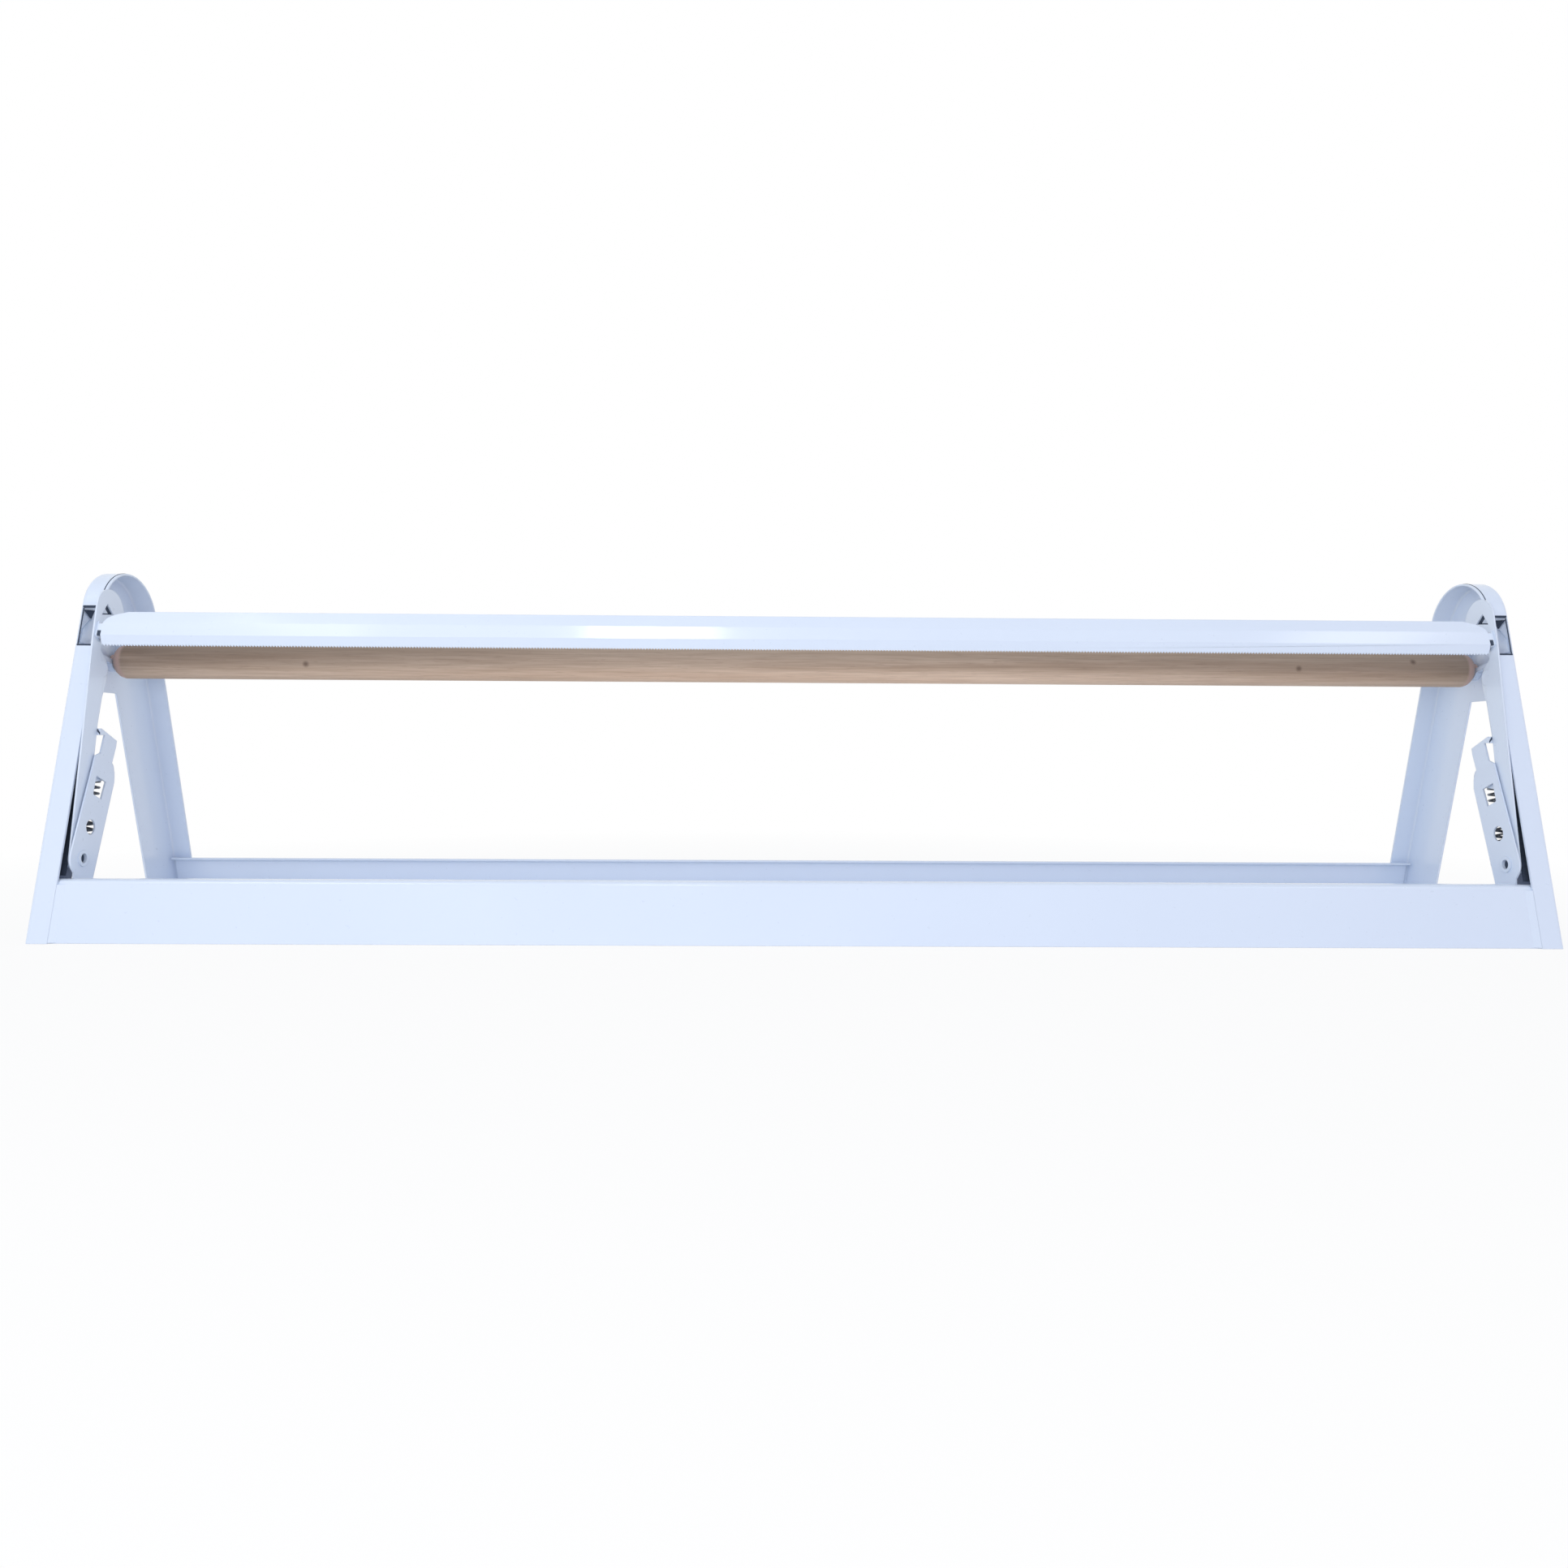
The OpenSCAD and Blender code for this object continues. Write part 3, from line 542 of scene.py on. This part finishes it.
def make_spring(side):
    """An extension spring drawn as one wire: lower loop, lead, bend, coils, bend, lead, upper loop."""
    bm = bmesh.new()
    along = UPPER_STUD - LOWER_STUD
    length = along.length
    coil_l = length - 2 * LEAD_L
    climb = math.atan2(coil_l / COIL_TURNS, 2 * math.pi * COIL_R)
    bend = math.pi / 2 - climb
    bend_rise = LEAD_BEND_R * math.cos(climb)
    lead_x = LEAD_BEND_R * (1 - math.sin(climb))
    lead_top = LEAD_L - bend_rise
    coil_top = length - LEAD_L
    coil_steps = COIL_STEPS * COIL_TURNS
    bmesh.ops.create_circle(bm, segments=WIRE_SIDES, radius=WIRE_R, cap_ends=True)
    bmesh.ops.translate(bm, vec=(-lead_x, COIL_R, 0), verts=bm.verts)
    bmesh.ops.rotate(bm, verts=bm.verts, cent=(0, 0, 0), matrix=Matrix.Rotation(-LOOP_TURN, 3, "X"))
    tip = {"geom_last": list(bm.verts) + list(bm.edges)}
    # Sweeps: (centre, axis, angle, steps, rise of each step)
    sweeps = (
        ((0, 0, 0), (1, 0, 0), LOOP_TURN, LOOP_STEPS, 0),
        ((0, 0, 0), (0, 0, 1), 0, LEAD_STEPS, lead_top / LEAD_STEPS),
        ((LEAD_BEND_R - lead_x, COIL_R, lead_top), (0, 1, 0), bend, BEND_STEPS, 0),
        ((0, 0, 0), (0, 0, 1), -2 * math.pi * COIL_TURNS, coil_steps, coil_l / coil_steps),
        ((lead_x - LEAD_BEND_R, COIL_R, coil_top + bend_rise), (0, 1, 0), -bend, BEND_STEPS, 0),
        ((0, 0, 0), (0, 0, 1), 0, LEAD_STEPS, lead_top / LEAD_STEPS),
        ((0, 0, length), (1, 0, 0), LOOP_TURN, LOOP_STEPS, 0),
    )
    for cent, axis, angle, steps, rise in sweeps:
        tip = bmesh.ops.spin(
            bm, geom=last_ring(tip), cent=cent, axis=axis, dvec=(0, 0, rise), angle=angle, steps=steps
        )
    close_end(bm, tip)
    lean = Matrix.Rotation(-math.atan2(along.x, along.y), 4, "X")
    place = Matrix.Translation((SPRING_X, *LOWER_STUD)) @ lean
    mirrored = Matrix.Scale(SIDES[side], 4, (1, 0, 0))
    bmesh.ops.transform(bm, matrix=mirrored @ place, verts=bm.verts)
    piece = add_piece(side + "_extension_spring", bm, "spring_steel")
    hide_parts(side + "_spring")
    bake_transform(piece)


def add_slab(bm, side, across, rise, thickness, depth, edge_r):
    """Adds a bevelled slab parallel to the front flange, its middle this deep behind the flange's face."""
    made = bmesh.ops.create_cube(bm, size=1)
    length = (rise[1] - rise[0]) / math.cos(LEG_LEAN)
    bmesh.ops.scale(bm, vec=(across[1] - across[0], thickness, length), verts=made["verts"])
    middle_x = SIDES[side] * (across[0] + across[1]) / 2
    middle_z = (rise[0] + rise[1]) / 2
    place = Matrix.Translation((middle_x, flange_y(middle_z, depth), middle_z))
    bmesh.ops.transform(bm, matrix=place @ Matrix.Rotation(-LEG_LEAN, 4, "X"), verts=made["verts"])
    edges = {edge for vert in made["verts"] for edge in vert.link_edges}
    bevel_edges(bm, list(edges), edge_r)


def make_shade_strip(name, side, across, rise, thickness, depth, finish):
    """A dark strip inside the front leg: painted shade."""
    bm = bmesh.new()
    add_slab(bm, side, across, rise, thickness, depth, SHADE_STRIP_BEVEL)
    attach(add_piece(f"{side}_{name}", bm, finish), "frame")


def make_window_shade(side):
    """Dark bars of painted shade on the top, the sill and the outer side of the window in the front flange.
    """
    bm = bmesh.new()
    for across, rise, thickness in WINDOW_SHADE_BARS:
        add_slab(bm, side, across, rise, thickness, WINDOW_SHADE_BAR_DEPTH, WINDOW_SHADE_BAR_BEVEL)
    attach(add_piece(side + "_window_shade_bars", bm, "painted_shade"), "frame")


def make_seam_fillet(side):
    """A wedge that runs up the corner between the front rail's face and the edge of a leg's flange."""
    bm = bmesh.new()
    low_z, high_z = SEAM_RISE
    for across, depth in SEAM_CORNERS:
        bm.verts.new((SIDES[side] * across, flange_y(low_z, depth), low_z))
    bmesh.ops.contextual_create(bm, geom=bm.verts[:])
    rise = high_z - low_z
    run_on(bm, (0, rise * math.tan(LEG_LEAN), rise))
    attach(add_piece(side + "_seam_fillet", bm, "frame_enamel"), "frame")


def cut_plate(outline, across):
    """A flat face at x = across, cut from a blank along each edge of a convex outline of (y, z) corners."""
    bm = bmesh.new()
    corners = [Vector(corner) for corner in outline]
    centre = sum(corners, Vector((0, 0))) / len(corners)
    bmesh.ops.create_grid(bm, x_segments=1, y_segments=1, size=PLATE_BLANK)
    bmesh.ops.rotate(bm, verts=bm.verts, cent=(0, 0, 0), matrix=Matrix.Rotation(math.pi / 2, 3, "Y"))
    bmesh.ops.translate(bm, vec=(across, *centre), verts=bm.verts)
    for here, there in zip(corners, corners[1:] + corners[:1]):
        outward = (there - here).orthogonal()
        if outward.dot(here - centre) < 0:
            outward.negate()
        bmesh.ops.bisect_plane(
            bm, geom=bm.verts[:] + bm.edges[:] + bm.faces[:],
            plane_co=(across, *here), plane_no=(0, *outward), clear_outer=True,
        )
    return bm


def make_plate(name, side, outline, across, thickness, finish, body):
    """A thin plate square to X, with rounded edges."""
    bm = cut_plate(outline, SIDES[side] * across)
    run_on(bm, (SIDES[side] * thickness, 0, 0))
    bevel_edges(bm, bm.edges[:], PLATE_BEVEL)
    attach(add_piece(f"{side}_{name}", bm, finish), body)


def make_hole_shade(side):
    """A thin dark ring of painted shade behind the triangular hole of an arm."""
    bm = cut_plate(HOLE_SHADE_CORNERS, SIDES[side] * HOLE_SHADE_X)
    middle = bm.faces[:]
    bmesh.ops.inset_region(bm, faces=middle, thickness=HOLE_SHADE_W, use_boundary=True, use_even_offset=True)
    bmesh.ops.delete(bm, geom=middle, context="FACES")
    run_on(bm, (SIDES[side] * HOLE_SHADE_T, 0, 0))
    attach(add_piece(side + "_hole_shade_ring", bm, "painted_shade"), "blade_carrier")


def make_tab_shade(side):
    """A dark plate of painted shade on the front of a stop bracket's tab."""
    bm = cut_plate(TAB_SHADE_CORNERS, TAB_SHADE_DEPTH)
    run_on(bm, (TAB_SHADE_T, 0, 0))
    bmesh.ops.rotate(bm, verts=bm.verts, cent=(0, 0, 0), matrix=Matrix.Rotation(-math.pi / 2, 3, "Z"))
    middle = (0, -TAB_SHADE_DEPTH, TAB_SHADE_Z)
    bmesh.ops.rotate(bm, verts=bm.verts, cent=middle, matrix=Matrix.Rotation(-TAB_LEAN, 3, "X"))
    bmesh.ops.scale(bm, vec=(SIDES[side], 1, 1), verts=bm.verts)
    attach(add_piece(side + "_tab_shade", bm, "painted_shade"), "frame")


def make_arch_bead(name, side, across, arc_r, bead_r, finish):
    """A bead swept over the arch, with closed ends."""
    bm = bmesh.new()
    bmesh.ops.create_circle(bm, segments=BEAD_SIDES, radius=bead_r, cap_ends=True)
    centre = (SIDES[side] * across, 0, ARCH_CENTRE_Z)
    bmesh.ops.translate(bm, vec=Vector(centre) + Vector((0, -arc_r, 0)), verts=bm.verts)
    bmesh.ops.rotate(bm, verts=bm.verts, cent=centre, matrix=Matrix.Rotation(-BEAD_START, 3, "X"))
    made = bmesh.ops.spin(
        bm, geom=bm.verts[:] + bm.edges[:], cent=centre, axis=(1, 0, 0),
        angle=2 * BEAD_START - math.pi, steps=BEAD_STEPS,
    )
    close_end(bm, made)
    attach(add_piece(f"{side}_{name}", bm, finish), "frame")


def make_bore_shade(side):
    """A dark disc of painted shade set in the hollow pivot rivet."""
    bm = bmesh.new()
    bmesh.ops.create_cone(
        bm, cap_ends=True, segments=BORE_SHADE_SIDES, radius1=BORE_SHADE_R, radius2=BORE_SHADE_R, depth=BORE_SHADE_T
    )
    caps = [face for face in bm.faces if len(face.verts) == BORE_SHADE_SIDES]
    bmesh.ops.inset_individual(bm, faces=caps, thickness=BORE_SHADE_RIM, depth=-BORE_SHADE_DISH, use_even_offset=True)
    bmesh.ops.rotate(bm, verts=bm.verts, cent=(0, 0, 0), matrix=Matrix.Rotation(math.pi / 2, 3, "Y"))
    bmesh.ops.translate(bm, vec=(SIDES[side] * BORE_SHADE_X, *PIVOT), verts=bm.verts)
    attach(add_piece(side + "_bore_shade", bm, "painted_shade"), "frame")


make_camera()
make_world()
make_floor()
for name, lamp in LAMPS.items():
    make_lamp(name, *lamp)

finishes = {
    "frame_enamel": enamel("frame_enamel_finish", *FRAME_TONES),
    "blade_enamel": enamel("blade_enamel_finish", *BLADE_TONES),
    "plated_steel": plated_steel(),
    "spring_steel": spring_steel(),
    "nylon_washer": nylon(),
    "turned_wood": turned_wood(),
    # The two dark finishes below are painted shade, for pieces set where only shade falls
    "painted_shade": painted_shade("painted_shade_finish", *PAINTED_SHADE_TONES),
    "paler_painted_shade": painted_shade("paler_painted_shade_finish", *PALER_PAINTED_SHADE_TONES),
}
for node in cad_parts.values():
    for place in node.material_slots:
        place.material = finishes[place.material.name]

for side in SIDES:
    make_spring(side)
    make_hole_shade(side)
    make_plate("ear_gusset", side, *EAR_GUSSET)
    make_plate("notch_shade", side, *NOTCH_SHADE)
    make_tab_shade(side)
    make_window_shade(side)
    make_seam_fillet(side)
    for name, strip in SHADE_STRIPS.items():
        make_shade_strip(name, side, *strip)
    make_plate("web_shade_patch", side, *WEB_SHADE_PATCH)
    make_plate("bar_guide", side, *BAR_GUIDE)
    make_arch_bead("arch_bead", side, *ARCH_BEAD)
    # The dark line beside the bead is painted shade
    make_arch_bead("arch_shade_line", side, *ARCH_SHADE_LINE)
    make_bore_shade(side)
